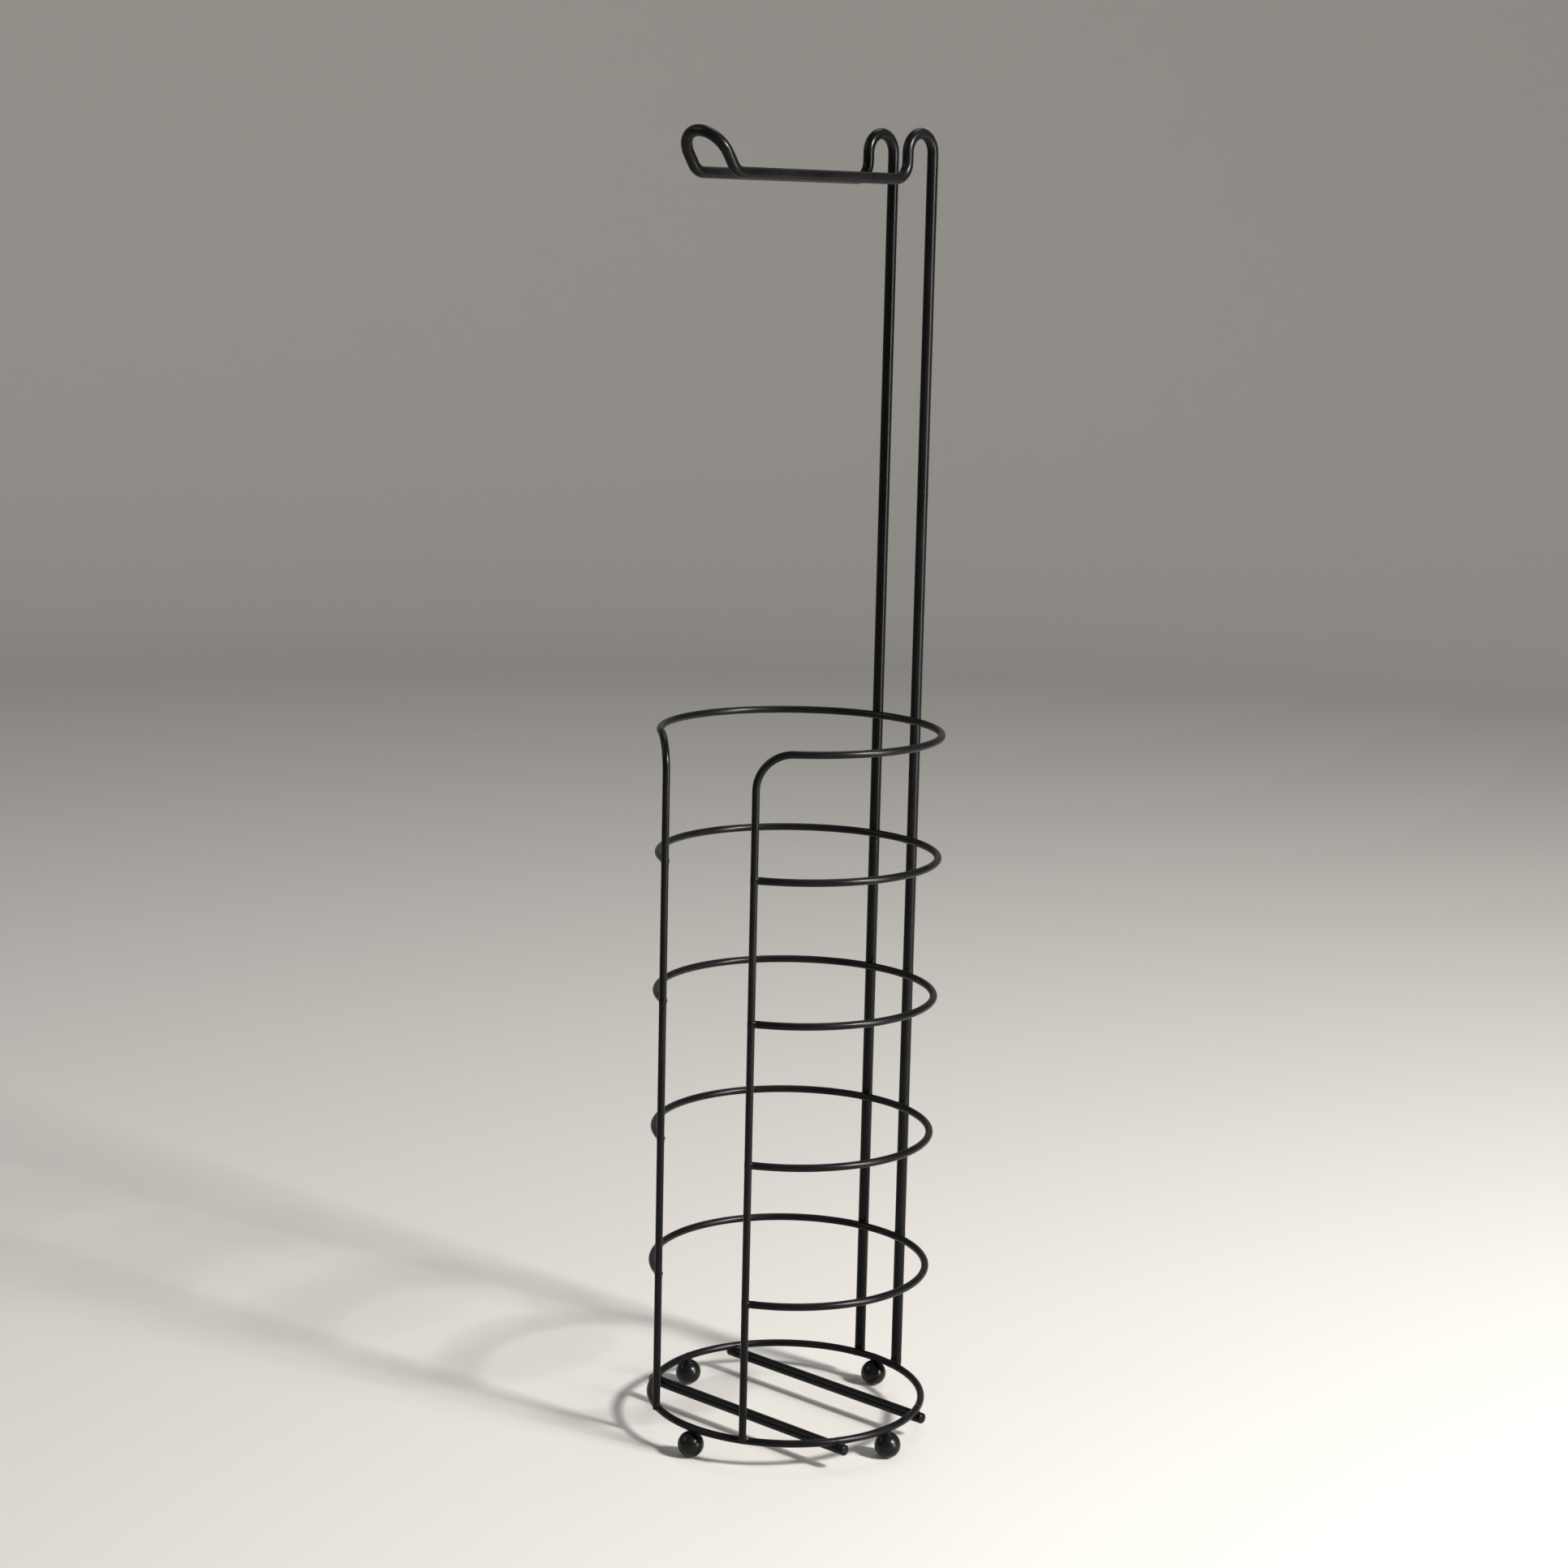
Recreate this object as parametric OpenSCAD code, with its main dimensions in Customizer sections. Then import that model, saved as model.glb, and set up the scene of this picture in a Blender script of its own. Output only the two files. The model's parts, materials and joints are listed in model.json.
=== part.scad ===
// Free-standing toilet paper holder, welded from bent steel wire.
// The axis of the basket is the Z axis and the ball feet touch Z = 0.
// The roll arm reaches out towards -Y, and the uprights stand on the +Y side.

/* [Wire] */
// Diameter of the heavy wire: uprights, roll arm and crossbars
frame_wire_d = 5.3; // [4.8:0.1:6]
// Diameter of the light wire: rings, hoops and front posts
ring_wire_d = 3.6; // [3.2:0.1:4.2]
// Depth that a ring and an upright sink into each other at their weld
weld_sink = 0.3; // [0.2:0.05:0.5]

/* [Basket] */
// Radius of the rings, to the middle of the wire
ring_r = 67; // [64:1:72]
// Height from one ring to the next
ring_pitch = 68; // [60:1:75]
// Height from the highest hoop to the top ring
top_gap = 59.5; // [55:0.5:70]
// Angle from the front to each post of the front opening
post_angle = 25; // [22:0.5:36]
// How far the front posts stand outside the rings, from middle to middle
post_out = 1.1; // [0.9:0.1:2]
// Radius of the bends between the top ring and the front posts
shoulder_r = 17.5; // [17:0.1:18]
// Distance from the middle of a front post back to the end of a hoop
hoop_setback = 1.2; // [0.5:0.1:1.5]

/* [Stand] */
// Height of the roll arm above the floor, to the middle of the wire
arm_z = 605.7; // [560:1:660]
// Distance between the two runs of heavy wire, middle to middle
wire_gap = 24.4; // [20:0.2:28]
// Height from the roll arm up to the start of the hump's half circle
hump_rise = 12.3; // [10:0.1:20]
// Radius of the hump
hump_r = 9.1; // [8:0.1:11]
// Radius of the bend from the hump into the roll arm
arm_back_r = 8; // [7:0.1:9]
// Reach of the roll arm in front of the basket axis, to the corner of its front bend
arm_reach = 65; // [60:1:75]
// Radius of the front bend
arm_front_r = 8; // [7:0.1:9]
// Angle that the front loop rises from level
loop_angle = 56; // [50:1:65]
// Length of the front loop from the corner of its bend to its tip
loop_length = 21.6; // [21:0.1:26]

/* [Base] */
// Diameter of the ball feet
ball_d = 12.7; // [12:0.1:14]
// Gap between each ball and the base ring, bridged by the weld
ball_gap = 0.1; // [0.1:0.05:0.5]
// Distance from the basket axis to each crossbar
crossbar_y = 28.5; // [24:0.5:34]
// Half of the length of a crossbar
crossbar_half = 65; // [64:0.5:68]
// Depth that a crossbar and the base ring sink into each other
crossbar_sink = 0.8; // [0.5:0.05:1]
// Chamfer on the ends of the crossbars
crossbar_chamfer = 0.7; // [0.3:0.1:1.2]
// Depth of the foot of a front post below the middle of the base ring
post_drop = 0.5; // [0.4:0.1:1.2]

/* [Welds] */
// Radius of the bead where a ring crosses an upright
upright_bead_r = 1.8; // [1.4:0.1:2.2]
// Radius of the bead where a hoop ends against a front post
hoop_bead_r = 1.3; // [1.1:0.1:1.6]
// Radius of the bead beside the foot of a front post
post_bead_r = 1.4; // [1.2:0.1:1.7]
// Radius of the bead where a crossbar passes under the base ring
crossbar_bead_r = 2.1; // [1.7:0.1:2.4]
// Radius of the neck between a ball foot and the base ring
ball_neck_r = 1.9; // [1.5:0.1:2.2]
// Depth that the neck runs into the ball and into the ring
ball_neck_sink = 0.6; // [0.4:0.1:0.8]

/* [Hidden] */
$fn = 72;
frame_r = frame_wire_d / 2;
wire_r = ring_wire_d / 2;
ball_r = ball_d / 2;
half_gap = wire_gap / 2;
hoop_count = 4;
// The wire is a hair thicker in its bends, and straight runs lap into them.
bend_swell = 0.03;
lap = 0.3;
// Levels
base_z = ball_d + ball_gap + wire_r;
top_z = base_z + hoop_count * ring_pitch + top_gap;
hump_z = arm_z + hump_rise;
crossbar_z = base_z - wire_r - frame_r + crossbar_sink;
upright_foot_z = base_z - wire_r;
// The uprights stand against the outside of the rings.
upright_y = sqrt(pow(ring_r + wire_r + frame_r - weld_sink, 2) - pow(half_gap, 2));
// The shoulder bends turn in a little from the top ring's ends, and meet the front posts.
post_r = ring_r + post_out;
shoulder_turn = asin((pow(ring_r, 2) + pow(shoulder_r, 2) - pow(post_r, 2)) / (2 * ring_r * shoulder_r));
shoulder_span = atan2(shoulder_r * cos(shoulder_turn), ring_r - shoulder_r * sin(shoulder_turn));
shoulder_angle = post_angle + shoulder_span;
hoop_end_angle = post_angle + asin(hoop_setback / ring_r);
// Angle from the middle of a front post to the corner between its side and a ring
post_side_angle = post_angle + asin(wire_r / ring_r);
lap_angle = atan(lap / ring_r);
post_top_z = top_z - shoulder_r;
post_foot_z = base_z - post_drop;
// Length from the corner of the roll arm's front bend to where that bend starts and ends
bend_run = arm_front_r * tan(loop_angle / 2);
// Length from that corner to the half circle of the front loop
leg_end = loop_length - half_gap;
arm_back_y = upright_y - 2 * hump_r;

function hoop_z(number) = base_z + number * ring_pitch;

// Points given by their angle from the front, towards +X
function from_front(radius, angle, z) = [radius * sin(angle), -radius * cos(angle), z];

// Repeats its children on the -X side
module both_sides() {
    for (side = [0, 1])
        mirror([side, 0, 0]) children();
}

// Straight wire from one point to another in the plane of the children, lapped into its bends
module flat_run(start, end, radius) {
    step = end - start;
    translate([start.x, start.y, 0])
        rotate([0, 0, atan2(step.y, step.x)])
            rotate([0, 90, 0]) translate([0, 0, -lap]) cylinder(r = radius, h = norm(step) + 2 * lap);
}

// Bent wire in the plane of the children, from one angle to another about its centre
module flat_bend(centre, bend_r, from, to, radius) {
    translate([centre.x, centre.y, 0])
        rotate([0, 0, from])
            rotate_extrude(angle = to - from)
                translate([bend_r, 0]) circle(r = radius + bend_swell);
}

// Stands the plane of its children up, with its X along +Y and its Y along +Z
module side_plane() {
    rotate([90, 0, 90]) children();
}

// A ring with a gap at the front, given by the angle from the front to each end
module open_ring(end_angle) {
    rotate([0, 0, end_angle - 90])
        rotate_extrude(angle = 360 - 2 * end_angle) translate([ring_r, 0]) circle(r = wire_r);
}

module base_circle() {
    translate([0, 0, base_z]) rotate_extrude() translate([ring_r, 0]) circle(r = wire_r);
}

module upright_wires() {
    both_sides()
        translate([half_gap, upright_y, upright_foot_z])
            cylinder(r = frame_r, h = hump_z + lap - upright_foot_z);
}

module post_wires() {
    both_sides()
        translate(from_front(post_r, post_angle, post_foot_z))
            cylinder(r = wire_r, h = post_top_z + lap - post_foot_z);
}

module crossbar_wire(y) {
    shaft = crossbar_half - crossbar_chamfer;
    translate([0, y, crossbar_z]) rotate([0, 90, 0]) {
        cylinder(r = frame_r, h = 2 * shaft, center = true);
        both_ends(shaft)
            cylinder(r1 = frame_r, r2 = frame_r - crossbar_chamfer, h = crossbar_chamfer);
    }
}

// Repeats its children at +distance along Z, and turned over at -distance
module both_ends(distance) {
    for (turn = [0, 180])
        rotate([turn, 0, 0]) translate([0, 0, distance]) children();
}

// The hump, the arm and the front loop's leg on the +X side
module arm_half() {
    corner = [-arm_reach, arm_z];
    rise = [-cos(loop_angle), sin(loop_angle)];
    translate([half_gap, 0, 0]) side_plane() {
        flat_bend([upright_y - hump_r, hump_z], hump_r, 0, 180, frame_r);
        flat_run([arm_back_y, arm_z + arm_back_r], [arm_back_y, hump_z], frame_r);
        flat_bend([arm_back_y - arm_back_r, arm_z + arm_back_r], arm_back_r, -90, 0, frame_r);
        flat_run(corner + [bend_run, 0], [arm_back_y - arm_back_r, arm_z], frame_r);
        flat_bend(corner + [bend_run, arm_front_r], arm_front_r, 270 - loop_angle, 270, frame_r);
        flat_run(corner + bend_run * rise, corner + leg_end * rise, frame_r);
    }
}

// The half circle that joins the two legs of the front loop
module loop_tip() {
    translate([0, -arm_reach - leg_end * cos(loop_angle), arm_z + leg_end * sin(loop_angle)])
        rotate([180 - loop_angle, 0, 0])
            flat_bend([0, 0], half_gap, 0, 180, frame_r);
}

// Bend from the end of the top ring down into a front post, on the +X side
module shoulder() {
    translate(from_front(ring_r, shoulder_angle, post_top_z))
        rotate([0, 0, 180 + shoulder_angle - shoulder_turn])
            rotate([90, 0, 0]) flat_bend([0, 0], shoulder_r, 0, 90, wire_r);
}

// Nugget of weld metal, which runs into the wires that it joins
module weld_bead(point, radius) {
    translate(point) sphere(r = radius);
}

module main_frame_wire() {
    color("#1b1b1d") {
        upright_wires();
        both_sides() arm_half();
        loop_tip();
    }
}

module basket_frame_wire() {
    color("#1b1b1d") difference() {
        union() {
            translate([0, 0, top_z]) open_ring(shoulder_angle - lap_angle);
            both_sides() shoulder();
            post_wires();
        }
        upright_wires();
        base_circle();
    }
}

module hoop_ring(number) {
    color("#1b1b1d") difference() {
        translate([0, 0, hoop_z(number)]) open_ring(hoop_end_angle);
        upright_wires();
        post_wires();
    }
}

module base_ring() {
    color("#1b1b1d") difference() {
        base_circle();
        upright_wires();
    }
}

module crossbar(y) {
    color("#1b1b1d") difference() {
        crossbar_wire(y);
        base_circle();
    }
}

module ball_foot(angle) {
    color("#1b1b1d") translate(from_front(ring_r, angle, ball_r)) sphere(r = ball_r);
}

// One bead where each ring lies against each upright
module upright_welds() {
    contact = [half_gap, upright_y] * (1 - (frame_r - weld_sink / 2) / norm([half_gap, upright_y]));
    color("#202022") both_sides()
        for (z = [for (number = [0 : hoop_count]) hoop_z(number), top_z])
            weld_bead([contact.x, contact.y, z], upright_bead_r);
}

// One bead in the corner where each end of a hoop meets its post
module hoop_end_welds() {
    color("#202022") both_sides()
        for (number = [1 : hoop_count])
            weld_bead(from_front(ring_r + wire_r / 2, post_side_angle, hoop_z(number)), hoop_bead_r);
}

// One bead in the corner between each post and the top of the base ring
module post_foot_welds() {
    color("#202022") both_sides()
        weld_bead(from_front(post_r - wire_r / 4, post_side_angle, base_z + wire_r / 2), post_bead_r);
}

module crossbar_welds() {
    crossing_x = sqrt(pow(ring_r, 2) - pow(crossbar_y, 2));
    color("#202022") both_sides()
        for (y = [-crossbar_y, crossbar_y])
            weld_bead([crossing_x, y, base_z - wire_r + crossbar_sink / 2], crossbar_bead_r);
}

// Short necks that run into the balls and the base ring
module foot_welds() {
    neck_z = ball_d - ball_neck_sink;
    color("#202022")
        for (angle = [0 : 90 : 270])
            translate(from_front(ring_r, angle, neck_z))
                cylinder(r = ball_neck_r, h = ball_gap + 2 * ball_neck_sink);
}

main_frame_wire();
basket_frame_wire();
hoop_ring(1);  // hoop_ring_1
hoop_ring(2);  // hoop_ring_2
hoop_ring(3);  // hoop_ring_3
hoop_ring(4);  // hoop_ring_4
base_ring();
crossbar(-crossbar_y);  // crossbar_front
crossbar(crossbar_y);  // crossbar_back
ball_foot(0);  // foot_front
ball_foot(90);  // foot_right
ball_foot(180);  // foot_back
ball_foot(270);  // foot_left
upright_welds();
hoop_end_welds();
post_foot_welds();
crossbar_welds();
foot_welds();
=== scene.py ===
"""Black wire toilet paper holder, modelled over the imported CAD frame. Lengths are in metres."""

import json
import math

import bmesh
import bpy
from mathutils import Matrix, Vector


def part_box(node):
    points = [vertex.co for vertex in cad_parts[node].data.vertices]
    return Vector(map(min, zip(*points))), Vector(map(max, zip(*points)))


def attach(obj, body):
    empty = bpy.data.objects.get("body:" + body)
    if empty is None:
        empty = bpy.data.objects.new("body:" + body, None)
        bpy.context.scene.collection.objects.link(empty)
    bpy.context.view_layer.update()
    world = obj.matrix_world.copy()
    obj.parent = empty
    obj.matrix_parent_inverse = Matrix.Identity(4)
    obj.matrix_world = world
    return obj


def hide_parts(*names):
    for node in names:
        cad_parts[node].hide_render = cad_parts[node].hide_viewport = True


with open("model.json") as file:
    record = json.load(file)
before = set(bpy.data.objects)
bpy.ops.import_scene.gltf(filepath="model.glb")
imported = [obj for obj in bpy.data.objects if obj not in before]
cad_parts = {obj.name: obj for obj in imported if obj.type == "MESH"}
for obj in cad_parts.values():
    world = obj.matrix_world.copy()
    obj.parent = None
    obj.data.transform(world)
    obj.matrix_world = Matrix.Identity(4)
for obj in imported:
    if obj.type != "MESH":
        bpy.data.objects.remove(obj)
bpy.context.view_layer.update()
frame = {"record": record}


# ---------------------------------------------------------------------------
# Sizes read from the CAD nodes
# ---------------------------------------------------------------------------
def middle(node):
    """The middle of a CAD node's box."""
    low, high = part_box(node)
    return (low + high) / 2


def size(node):
    """The extent of a CAD node's box."""
    low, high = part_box(node)
    return high - low


WIRE_R = size("base_ring").z / 2
RING_R = size("base_ring").x / 2 - WIRE_R
BASE_Z = middle("base_ring").z
TOP_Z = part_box("basket_frame_wire")[1].z - WIRE_R
POST_FOOT_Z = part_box("basket_frame_wire")[0].z

FRAME_R = size("crossbar_front").y / 2
CROSSBAR_HALF = size("crossbar_front").x / 2
CROSSBAR_Y = middle("crossbar_back").y
CROSSBAR_Z = middle("crossbar_back").z

HALF_GAP = size("main_frame_wire").x / 2 - FRAME_R
UPRIGHT_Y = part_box("main_frame_wire")[1].y - FRAME_R
UPRIGHT_FOOT_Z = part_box("main_frame_wire")[0].z
HUMP_PEAK_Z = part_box("main_frame_wire")[1].z - FRAME_R
ARM_Z = next(m["pos_m"][2] for m in frame["record"]["mounts"] if m["name"] == "roll_arm")
BALL_R = size("foot_front").z / 2

# The bends of the heavy wire
HUMP_R = 0.0091
ARM_BACK_R = 0.008
ARM_FRONT_R = 0.008
LOOP_ANGLE = math.radians(56)
LOOP_LENGTH = 0.0216
ARM_REACH = -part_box("main_frame_wire")[0].y - FRAME_R - LOOP_LENGTH * math.cos(LOOP_ANGLE)

# The front opening of the basket
POST_ANGLE = math.radians(25)
POST_R = RING_R + 0.0011
SHOULDER_R = 0.0175
HOOP_SETBACK = 0.0012
HOOP_COUNT = 4
HOOP_END_ANGLE = POST_ANGLE + math.asin(HOOP_SETBACK / RING_R)

# How finely the wires are built
WIRE_SIDES = 28
BEND_STEP = math.radians(6)
RING_STEP = math.radians(2.5)
RUN_STEP = 0.008
RIM_STEPS = 4
WIRE_RIM = 0.00045
CROSSBAR_RIM = 0.0007
BALL_CUTS = 20

# Coated resistance welds
SLEEVE_HALF = 0.0040
POST_FOOT_SLEEVE = 0.0048
CROSSBAR_SLEEVE = 0.0052
CROSSING_SLEEVE = 0.0046
NECK_SLEEVE = 0.0036
SLEEVE_PROUD = 0.00011
SLEEVE_DIVE = 0.00034
SLEEVE_STEPS = 10
WELD_VOXEL = 0.00022
WELD_SMOOTHING = 22
UPRIGHT_BEAD_R = 0.0017
HOOP_BEAD_R = 0.0013
POST_BEAD_R = 0.0013
CROSSBAR_BEAD_R = 0.0019
NECK_R = 0.0014
CAP_SPREAD = math.radians(32)

X = Vector((1, 0, 0))
Y = Vector((0, 1, 0))
Z = Vector((0, 0, 1))


# ---------------------------------------------------------------------------
# Centrelines
# ---------------------------------------------------------------------------
def bend(centre, across, up, radius, start, end, step=BEND_STEP):
    """Points round a bend in the plane of two unit vectors, from one angle to another."""
    count = max(2, math.ceil(abs(end - start) / step))
    angles = [start + (end - start) * i / count for i in range(count + 1)]
    return [centre + radius * (math.cos(a) * across + math.sin(a) * up) for a in angles]


def level(angle):
    """Level unit vector, by its angle from the front towards +X."""
    return Vector((math.sin(angle), -math.cos(angle), 0))


def mirrored(path):
    """The same path on the other side of the holder, run the other way."""
    return [Vector((-p.x, p.y, p.z)) for p in reversed(path)]


def stand_path():
    """The heavy wire: -X foot, hump, roll arm, front loop, and back down to the +X foot."""
    side = -HALF_GAP * X
    arm_back_y = UPRIGHT_Y - 2 * HUMP_R
    hump_centre = side + (UPRIGHT_Y - HUMP_R) * Y + (HUMP_PEAK_Z - HUMP_R) * Z
    back_centre = side + (arm_back_y - ARM_BACK_R) * Y + (ARM_Z + ARM_BACK_R) * Z
    corner = side - ARM_REACH * Y + ARM_Z * Z
    front_centre = corner + ARM_FRONT_R * (math.tan(LOOP_ANGLE / 2) * Y + Z)
    rise = -math.cos(LOOP_ANGLE) * Y + math.sin(LOOP_ANGLE) * Z
    leg_end = corner + (LOOP_LENGTH - HALF_GAP) * rise
    quarter = math.pi / 2
    half = [side + UPRIGHT_Y * Y + UPRIGHT_FOOT_Z * Z]
    half += bend(hump_centre, Y, Z, HUMP_R, 0, math.pi)
    half += bend(back_centre, Y, Z, ARM_BACK_R, 0, -quarter)
    half += bend(front_centre, Y, Z, ARM_FRONT_R, -quarter, -quarter - LOOP_ANGLE)
    tip = bend(leg_end - side, X, rise, HALF_GAP, math.pi, 0)
    return half + tip + mirrored(half)


def basket_path():
    """The light wire: -X post, shoulder, round the back, shoulder and +X post."""
    turn = math.asin((RING_R ** 2 + SHOULDER_R ** 2 - POST_R ** 2) / (2 * RING_R * SHOULDER_R))
    span = math.atan2(SHOULDER_R * math.cos(turn), RING_R - SHOULDER_R * math.sin(turn))
    ring_end_angle = POST_ANGLE + span
    ring_end = RING_R * level(-ring_end_angle)
    post = POST_R * level(-POST_ANGLE)
    forward = (post - ring_end).normalized()
    half = [post + POST_FOOT_Z * Z]
    half += bend(ring_end + (TOP_Z - SHOULDER_R) * Z, forward, Z, SHOULDER_R, 0, math.pi / 2)
    return half + ring_path(TOP_Z, ring_end_angle) + mirrored(half)


def ring_path(z, gap_angle):
    """An open ring, from -gap_angle round the back to +gap_angle."""
    return bend(z * Z, -Y, X, RING_R, -gap_angle, gap_angle - 2 * math.pi, RING_STEP)


def hoop_z(number):
    return middle(f"hoop_ring_{number}").z


def runs_divided(path):
    """The same path with long straight runs cut into short ones."""
    points = [path[0]]
    for a, b in zip(path, path[1:]):
        count = max(1, math.ceil((b - a).length / RUN_STEP))
        if (b - a).length > 1e-7:
            points += [a.lerp(b, i / count) for i in range(1, count + 1)]
    return points


# ---------------------------------------------------------------------------
# Meshes
# ---------------------------------------------------------------------------
def cross_frames(path, closed):
    """A pair of unit vectors across the wire at each point, turned as little as possible."""
    count = len(path)
    ahead = [path[(i + 1) % count] - path[i] for i in range(count)]
    if not closed:
        ahead[-1] = ahead[-2]
    tangents = []
    for i in range(count):
        behind = ahead[i - 1] if closed or i else ahead[0]
        tangents.append((ahead[i].normalized() + behind.normalized()).normalized())
    side = tangents[0].orthogonal().normalized()
    frames = []
    for i, tangent in enumerate(tangents):
        if i:
            side = tangents[i - 1].rotation_difference(tangent) @ side
        side = (side - side.dot(tangent) * tangent).normalized()
        frames.append((side, tangent.cross(side), tangent))
    return frames


def add_loop(bm, centre, side, up, radius):
    """A circle of vertices in the plane of two unit vectors."""
    turns = [2 * math.pi * i / WIRE_SIDES for i in range(WIRE_SIDES)]
    return [bm.verts.new(centre + radius * (math.cos(t) * side + math.sin(t) * up)) for t in turns]


def skin(bm, loops, closed):
    """Quads between each loop and the next."""
    pairs = list(zip(loops, loops[1:])) + ([(loops[-1], loops[0])] if closed else [])
    for a, b in pairs:
        for i in range(WIRE_SIDES):
            j = (i + 1) % WIRE_SIDES
            bm.faces.new((a[i], a[j], b[j], b[i]))


def fan(bm, loop, point, flip):
    """Closes a loop on a middle point."""
    tip = bm.verts.new(point)
    for i in range(WIRE_SIDES):
        j = (i + 1) % WIRE_SIDES
        bm.faces.new((loop[j], loop[i], tip) if not flip else (loop[i], loop[j], tip))


def rim(radius, rounding):
    """Distances from a wire's end and radii there, from its flat face out to its side."""
    steps = [math.pi / 2 * i / RIM_STEPS for i in range(RIM_STEPS + 1)]
    flat = [(0.0, 0.5 * (radius - rounding))]
    return flat + [(rounding * (1 - math.cos(t)), radius - rounding * (1 - math.sin(t))) for t in steps]


def add_wire(bm, path, radius, closed=False, rounding=WIRE_RIM):
    """A wire along a path. An open one is cut square, with a rounded rim."""
    path = runs_divided(path)
    frames = cross_frames(path, closed)
    loops = []
    if closed:
        loops = [add_loop(bm, p, f[0], f[1], radius) for p, f in zip(path, frames)]
        skin(bm, loops, True)
        return
    ends = rim(radius, rounding)
    side, up, ahead = frames[0]
    loops += [add_loop(bm, path[0] + d * ahead, side, up, r) for d, r in ends]
    loops += [add_loop(bm, p, f[0], f[1], radius) for p, f in list(zip(path, frames))[1:-1]]
    side, up, ahead = frames[-1]
    loops += [add_loop(bm, path[-1] - d * ahead, side, up, r) for d, r in reversed(ends)]
    skin(bm, loops, False)
    fan(bm, loops[0], path[0], False)
    fan(bm, loops[-1], path[-1], True)


def add_sleeve(bm, path, radius):
    """A short sleeve over a wire, proud in the middle and sunk under the wire's face at its ends."""
    frames = cross_frames(path, False)
    last = len(path) - 1
    loops = []
    for i, (p, f) in enumerate(zip(path, frames)):
        off_middle = abs(2 * i / last - 1)
        loops.append(add_loop(bm, p, f[0], f[1], radius + SLEEVE_PROUD - SLEEVE_DIVE * off_middle ** 2))
    skin(bm, loops, False)
    fan(bm, loops[0], path[0], False)
    fan(bm, loops[-1], path[-1], True)


def add_ball(bm, centre, radius):
    """Fills an empty bmesh with a ball: a divided cube blown up, so that its faces stay even."""
    bmesh.ops.create_cube(bm, size=2.0)
    bmesh.ops.subdivide_edges(bm, edges=bm.edges, cuts=BALL_CUTS, use_grid_fill=True)
    for v in bm.verts:
        even = Vector([math.tan(c * math.pi / 4) for c in v.co])
        v.co = centre + radius * even.normalized()


def finished(name, bm, material, nodes):
    """Turns a bmesh into a smooth piece of the holder that stands for CAD nodes."""
    bmesh.ops.recalc_face_normals(bm, faces=bm.faces)
    mesh = bpy.data.meshes.new(name)
    bm.to_mesh(mesh)
    bm.free()
    return placed(name, mesh, material, nodes)


def placed(name, mesh, material, nodes):
    """Puts a smooth shaded mesh into the scene as a piece of the holder."""
    for face in mesh.polygons:
        face.use_smooth = True
    mesh.materials.clear()
    mesh.materials.append(material)
    piece = bpy.data.objects.new(name, mesh)
    bpy.context.scene.collection.objects.link(piece)
    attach(piece, "root")
    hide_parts(*nodes)
    return piece


# ---------------------------------------------------------------------------
# Materials
# ---------------------------------------------------------------------------
COAT_DARK = (0.002, 0.002, 0.0022)
COAT_LIGHT = (0.004, 0.004, 0.0045)
CLOUD_SCALE = 45
GRAIN_SCALE = 1500
PEEL_DEPTH = 0.00004


def powder_coat(name, shine, smooth, rough, peel):
    """Satin black powder coat, with slow changes of tone and gloss and a fine orange-peel surface."""
    material = bpy.data.materials.new(name)
    material.use_nodes = True
    nodes, links = material.node_tree.nodes, material.node_tree.links
    shader = nodes["Principled BSDF"]
    shader.inputs["IOR"].default_value = 1.45
    shader.inputs["Specular IOR Level"].default_value = shine
    place = nodes.new("ShaderNodeTexCoord")

    slow = nodes.new("ShaderNodeTexNoise")
    slow.inputs["Scale"].default_value = CLOUD_SCALE
    slow.inputs["Detail"].default_value = 4
    links.new(place.outputs["Object"], slow.inputs["Vector"])

    tone = nodes.new("ShaderNodeValToRGB")
    tone.color_ramp.elements[0].position = 0.35
    tone.color_ramp.elements[0].color = (*COAT_DARK, 1)
    tone.color_ramp.elements[1].position = 0.7
    tone.color_ramp.elements[1].color = (*COAT_LIGHT, 1)
    links.new(slow.outputs["Fac"], tone.inputs["Fac"])
    links.new(tone.outputs["Color"], shader.inputs["Base Color"])

    grain = nodes.new("ShaderNodeTexNoise")
    grain.inputs["Scale"].default_value = GRAIN_SCALE
    grain.inputs["Detail"].default_value = 2
    links.new(place.outputs["Object"], grain.inputs["Vector"])

    mixed = nodes.new("ShaderNodeMath")
    mixed.operation = "MULTIPLY_ADD"
    mixed.inputs[1].default_value = 0.35
    links.new(grain.outputs["Fac"], mixed.inputs[0])
    links.new(slow.outputs["Fac"], mixed.inputs[2])
    gloss = nodes.new("ShaderNodeMapRange")
    gloss.inputs["From Min"].default_value = 0.45
    gloss.inputs["From Max"].default_value = 0.9
    gloss.inputs["To Min"].default_value = smooth
    gloss.inputs["To Max"].default_value = rough
    links.new(mixed.outputs["Value"], gloss.inputs["Value"])
    links.new(gloss.outputs["Result"], shader.inputs["Roughness"])

    bump = nodes.new("ShaderNodeBump")
    bump.inputs["Strength"].default_value = peel
    bump.inputs["Distance"].default_value = PEEL_DEPTH
    links.new(grain.outputs["Fac"], bump.inputs["Height"])
    links.new(bump.outputs["Normal"], shader.inputs["Normal"])
    return material


def plain(name, colour, roughness):
    """An even matt surface for the stage."""
    material = bpy.data.materials.new(name)
    material.use_nodes = True
    shader = material.node_tree.nodes["Principled BSDF"]
    shader.inputs["Base Color"].default_value = (*colour, 1)
    shader.inputs["Roughness"].default_value = roughness
    return material


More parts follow.
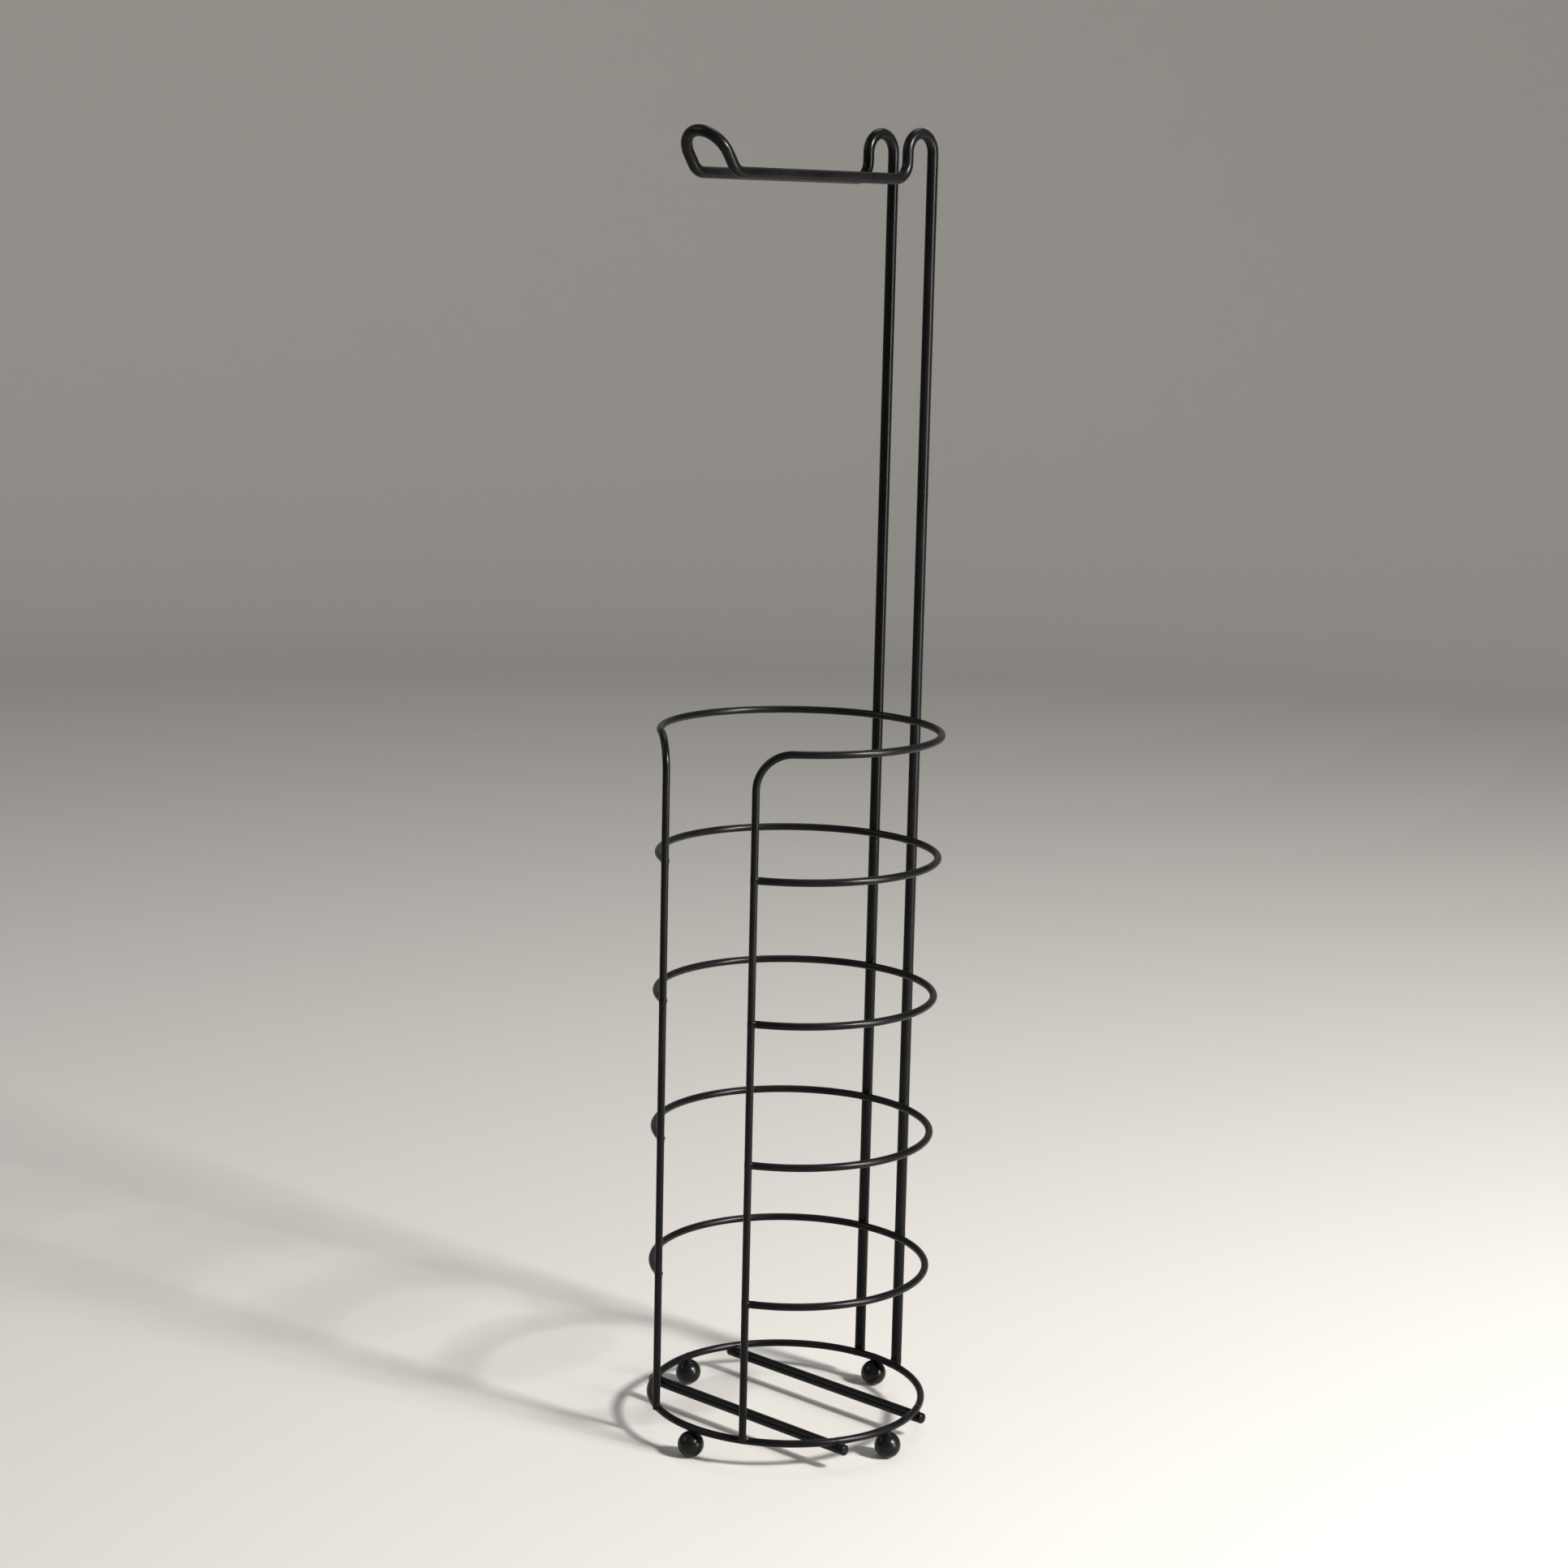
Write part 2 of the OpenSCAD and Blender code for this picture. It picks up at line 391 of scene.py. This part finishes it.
# ---------------------------------------------------------------------------
# The holder's pieces
# ---------------------------------------------------------------------------
def build_wires(coat):
    """The stand, the basket's wire, the rings and the crossbars."""
    bm = bmesh.new()
    add_wire(bm, stand_path(), FRAME_R)
    finished("stand_wire", bm, coat, ["main_frame_wire"])

    bm = bmesh.new()
    add_wire(bm, basket_path(), WIRE_R)
    finished("basket_wire", bm, coat, ["basket_frame_wire"])

    bm = bmesh.new()
    add_wire(bm, ring_path(BASE_Z, 0)[:-1], WIRE_R, closed=True)
    finished("bottom_ring", bm, coat, ["base_ring"])

    for number in range(1, HOOP_COUNT + 1):
        bm = bmesh.new()
        add_wire(bm, ring_path(hoop_z(number), HOOP_END_ANGLE), WIRE_R)
        finished(f"hoop_{number}", bm, coat, [f"hoop_ring_{number}"])

    for place, y in (("front", -CROSSBAR_Y), ("back", CROSSBAR_Y)):
        ends = [side * CROSSBAR_HALF * X + y * Y + CROSSBAR_Z * Z for side in (-1, 1)]
        bm = bmesh.new()
        add_wire(bm, ends, FRAME_R, rounding=CROSSBAR_RIM)
        finished(f"base_crossbar_{place}", bm, coat, [f"crossbar_{place}"])


def build_balls(coat):
    for place in ("front", "right", "back", "left"):
        bm = bmesh.new()
        add_ball(bm, middle(f"foot_{place}"), BALL_R)
        finished(f"ball_foot_{place}", bm, coat, [f"foot_{place}"])


def straight(point, direction, behind=SLEEVE_HALF, ahead=SLEEVE_HALF):
    """A short straight path through a point."""
    steps = [-behind + (behind + ahead) * i / SLEEVE_STEPS for i in range(SLEEVE_STEPS + 1)]
    return [point + s * direction for s in steps]


def along_ring(z, angle, before=SLEEVE_HALF, after=SLEEVE_HALF):
    """A short path along a ring, from before to after an angle from the front."""
    start, end = angle - before / RING_R, angle + after / RING_R
    return bend(z * Z, -Y, X, RING_R, start, end, (end - start) / SLEEVE_STEPS)


def on_ring(angle, outward, upward, z):
    """A point beside the middle of a ring's wire."""
    return (RING_R + outward) * level(angle) + (z + upward) * Z


def welded(name, bm, coat, node):
    """Runs the sleeves and beads of one weld node together into smooth nuggets."""
    bmesh.ops.recalc_face_normals(bm, faces=bm.faces)
    mesh = bpy.data.meshes.new(name + "_rough")
    bm.to_mesh(mesh)
    bm.free()
    rough = bpy.data.objects.new(name + "_rough", mesh)
    bpy.context.scene.collection.objects.link(rough)
    remesh = rough.modifiers.new("fuse", "REMESH")
    remesh.mode = "VOXEL"
    remesh.voxel_size = WELD_VOXEL
    smooth = rough.modifiers.new("flow", "SMOOTH")
    smooth.factor = 0.5
    smooth.iterations = WELD_SMOOTHING
    evaluated = rough.evaluated_get(bpy.context.evaluated_depsgraph_get())
    fused = bpy.data.meshes.new_from_object(evaluated)
    fused.name = name
    bpy.data.objects.remove(rough)
    bpy.data.meshes.remove(mesh)
    placed(name, fused, coat, [node])


def bead(bm, point, radius):
    """A ball of weld metal."""
    bmesh.ops.create_icosphere(bm, subdivisions=3, radius=radius, matrix=Matrix.Translation(point))


def build_upright_welds(coat):
    """The rings and the uprights, where they lie against each other."""
    bm = bmesh.new()
    levels = [BASE_Z, TOP_Z] + [hoop_z(number) for number in range(1, HOOP_COUNT + 1)]
    for side in (-1, 1):
        upright = side * HALF_GAP * X + UPRIGHT_Y * Y
        angle = math.atan2(upright.x, -upright.y)
        for z in levels:
            below = min(SLEEVE_HALF, z - UPRIGHT_FOOT_Z - WIRE_RIM)
            add_sleeve(bm, along_ring(z, angle), WIRE_R)
            add_sleeve(bm, straight(upright + z * Z, Z, behind=below), FRAME_R)
            bead(bm, on_ring(angle, 0.85 * WIRE_R, 0, z), UPRIGHT_BEAD_R)
    welded("upright_weld_nuggets", bm, coat, "upright_welds")


def build_hoop_end_welds(coat):
    """The hoops' ends, where they meet the sides of the front posts."""
    bm = bmesh.new()
    corner_angle = POST_ANGLE + math.asin(WIRE_R / RING_R)
    for side in (-1, 1):
        post = POST_R * level(side * POST_ANGLE)
        for number in range(1, HOOP_COUNT + 1):
            z = hoop_z(number)
            near, far = -0.5 * WIRE_RIM, SLEEVE_HALF + HOOP_SETBACK
            before, after = (near, far) if side > 0 else (far, near)
            add_sleeve(bm, along_ring(z, side * HOOP_END_ANGLE, before, after), WIRE_R)
            add_sleeve(bm, straight(post + z * Z, Z), WIRE_R)
            bead(bm, on_ring(side * corner_angle, 0.5 * WIRE_R, 0.15 * WIRE_R, z), HOOP_BEAD_R)
    welded("hoop_end_weld_nuggets", bm, coat, "hoop_end_welds")


def build_post_foot_welds(coat):
    """The front posts, where they stand against the base ring."""
    bm = bmesh.new()
    corner_angle = POST_ANGLE + math.asin(WIRE_R / RING_R)
    for side in (-1, 1):
        post = POST_R * level(side * POST_ANGLE) + BASE_Z * Z
        add_sleeve(bm, along_ring(BASE_Z, side * POST_ANGLE), WIRE_R)
        below = BASE_Z - POST_FOOT_Z - WIRE_RIM
        add_sleeve(bm, straight(post, Z, behind=below, ahead=POST_FOOT_SLEEVE), WIRE_R)
        bead(bm, on_ring(side * corner_angle, 0.35 * WIRE_R, 0.6 * WIRE_R, BASE_Z), POST_BEAD_R)
    welded("post_foot_weld_nuggets", bm, coat, "post_foot_welds")


def build_crossbar_welds(coat):
    """The crossbars, where they pass under the base ring."""
    bm = bmesh.new()
    crossing_x = math.sqrt(RING_R ** 2 - CROSSBAR_Y ** 2)
    for side in (-1, 1):
        for y in (-CROSSBAR_Y, CROSSBAR_Y):
            crossing = side * crossing_x * X + y * Y
            angle = math.atan2(crossing.x, -crossing.y)
            under = crossing + CROSSBAR_Z * Z
            outer = CROSSBAR_HALF - crossing_x - CROSSBAR_RIM
            add_sleeve(bm, along_ring(BASE_Z, angle, CROSSING_SLEEVE, CROSSING_SLEEVE), WIRE_R)
            add_sleeve(bm, straight(under, side * X, behind=CROSSBAR_SLEEVE, ahead=outer), FRAME_R)
            bead(bm, crossing + (BASE_Z - 0.8 * WIRE_R) * Z, CROSSBAR_BEAD_R)
    welded("crossbar_weld_nuggets", bm, coat, "crossbar_welds")


def build_foot_welds(coat):
    """The necks between the ball feet and the base ring."""
    bm = bmesh.new()
    for place in ("front", "right", "back", "left"):
        ball = middle(f"foot_{place}")
        angle = math.atan2(ball.x, -ball.y)
        add_sleeve(bm, along_ring(BASE_Z, angle, NECK_SLEEVE, NECK_SLEEVE), WIRE_R)
        add_cap(bm, ball)
        bead(bm, ball + BALL_R * Z, NECK_R)
    welded("foot_weld_necks", bm, coat, "foot_welds")


def add_cap(bm, ball):
    """A cap over the top of a ball, proud in the middle and sunk under the ball's face at its rim."""
    loops = []
    for i in range(1, SLEEVE_STEPS + 1):
        part = i / SLEEVE_STEPS
        radius = BALL_R + SLEEVE_PROUD - SLEEVE_DIVE * part ** 2
        tilt = CAP_SPREAD * part
        loops.append(add_loop(bm, ball + radius * math.cos(tilt) * Z, X, Y, radius * math.sin(tilt)))
    skin(bm, loops, False)
    fan(bm, loops[0], ball + (BALL_R + SLEEVE_PROUD) * Z, False)
    fan(bm, loops[-1], ball + 0.7 * BALL_R * Z, True)


# ---------------------------------------------------------------------------
# Stage, camera and light
# ---------------------------------------------------------------------------
STAGE_FLAT_R = 2.6
STAGE_COVE_R = 1.4
STAGE_WALL_TOP = 3.4
STAGE_SIDES = 96
STAGE_COVE_STEPS = 16


def build_stage():
    """A pale floor that turns up into a round pale wall far behind the holder."""
    profile = [(0.0, 0.0), (0.5, 0.0), (STAGE_FLAT_R, 0.0)]
    for i in range(1, STAGE_COVE_STEPS + 1):
        a = math.pi / 2 * i / STAGE_COVE_STEPS
        profile.append((STAGE_FLAT_R + STAGE_COVE_R * math.sin(a), STAGE_COVE_R * (1 - math.cos(a))))
    profile.append((STAGE_FLAT_R + STAGE_COVE_R, STAGE_WALL_TOP))
    bm = bmesh.new()
    verts = [bm.verts.new((r, 0, z)) for r, z in profile]
    edges = [bm.edges.new(pair) for pair in zip(verts, verts[1:])]
    bmesh.ops.spin(bm, geom=verts + edges, cent=(0, 0, 0), axis=(0, 0, 1), angle=2 * math.pi,
                   steps=STAGE_SIDES, use_duplicate=False)
    bmesh.ops.remove_doubles(bm, verts=bm.verts, dist=1e-5)
    bmesh.ops.recalc_face_normals(bm, faces=bm.faces)
    bmesh.ops.reverse_faces(bm, faces=bm.faces)
    mesh = bpy.data.meshes.new("floor")
    bm.to_mesh(mesh)
    bm.free()
    for face in mesh.polygons:
        face.use_smooth = True
    mesh.materials.append(plain("pale_floor", (0.48, 0.465, 0.44), 0.8))
    floor = bpy.data.objects.new("floor", mesh)
    bpy.context.scene.collection.objects.link(floor)


CAMERA_AZIMUTH = math.radians(42)
CAMERA_DISTANCE = 1.445
CAMERA_HEIGHT = 0.583
CAMERA_PITCH = math.radians(10.3)
CAMERA_YAW = math.radians(-0.3)
CAMERA_ROLL = math.radians(1.31)
CAMERA_LENS = 70.55


def build_camera():
    """The camera, by where it stands round the holder and how it is turned."""
    ahead = -level(CAMERA_AZIMUTH)
    right = ahead.cross(Z)
    turned = math.cos(CAMERA_YAW) * ahead + math.sin(CAMERA_YAW) * right
    look = math.cos(CAMERA_PITCH) * turned - math.sin(CAMERA_PITCH) * Z
    right = math.cos(CAMERA_YAW) * right - math.sin(CAMERA_YAW) * ahead
    up = right.cross(look)
    rolled_right = math.cos(CAMERA_ROLL) * right + math.sin(CAMERA_ROLL) * up
    rolled_up = -math.sin(CAMERA_ROLL) * right + math.cos(CAMERA_ROLL) * up
    data = bpy.data.cameras.new("camera")
    data.lens = CAMERA_LENS
    data.sensor_width = 36
    data.clip_start = 0.05
    data.clip_end = 50
    camera = bpy.data.objects.new("camera", data)
    turn = Matrix((rolled_right, rolled_up, -look)).transposed().to_4x4()
    place = CAMERA_DISTANCE * level(CAMERA_AZIMUTH) + CAMERA_HEIGHT * Z
    camera.matrix_world = Matrix.Translation(place) @ turn
    bpy.context.scene.collection.objects.link(camera)
    bpy.context.scene.camera = camera


LIGHT_AIM_Z = 0.3
# Name, azimuth and elevation in degrees from the front, distance, width, height, watts and colour
LIGHTS = (
    ("key", 98, 30, 2.0, 0.28, 0.28, 88, (1.0, 0.97, 0.93)),
    ("strip", 104, 4, 1.7, 0.2, 1.7, 42, (1.0, 0.98, 0.96)),
    ("fill", -40, 35, 2.2, 1.2, 1.2, 7, (0.9, 0.95, 1.0)),
    ("top", 200, 65, 2.2, 1.0, 1.0, 10, (0.95, 0.97, 1.0)),
)


def area_light(name, azimuth, elevation, distance, width, height, power, colour):
    """A soft round or oval light aimed at the basket, by its angles in degrees from the front."""
    data = bpy.data.lights.new(name, "AREA")
    data.shape = "ELLIPSE"
    data.size = width
    data.size_y = height
    data.energy = power
    data.color = colour
    light = bpy.data.objects.new(name, data)
    a, e = math.radians(azimuth), math.radians(elevation)
    out = math.cos(e) * level(a) + math.sin(e) * Z
    light.location = out * distance + LIGHT_AIM_Z * Z
    light.rotation_mode = "QUATERNION"
    light.rotation_quaternion = out.to_track_quat("Z", "Y")
    bpy.context.scene.collection.objects.link(light)


def build_lights():
    for light in LIGHTS:
        area_light(*light)
    world = bpy.data.worlds.new("studio")
    world.use_nodes = True
    background = world.node_tree.nodes["Background"]
    background.inputs["Color"].default_value = (0.86, 0.9, 0.95, 1)
    background.inputs["Strength"].default_value = 0.24
    bpy.context.scene.world = world


wire_coat = powder_coat("satin_black_wire", 0.15, 0.24, 0.32, 0.15)
ball_coat = powder_coat("satin_black_ball", 0.22, 0.2, 0.27, 0.12)
weld_coat = powder_coat("satin_black_weld", 0.15, 0.25, 0.34, 0.25)

bpy.context.scene.view_settings.view_transform = "Standard"
build_camera()
build_wires(wire_coat)
build_balls(ball_coat)
build_upright_welds(weld_coat)
build_hoop_end_welds(weld_coat)
build_post_foot_welds(weld_coat)
build_crossbar_welds(weld_coat)
build_foot_welds(weld_coat)
build_stage()
build_lights()
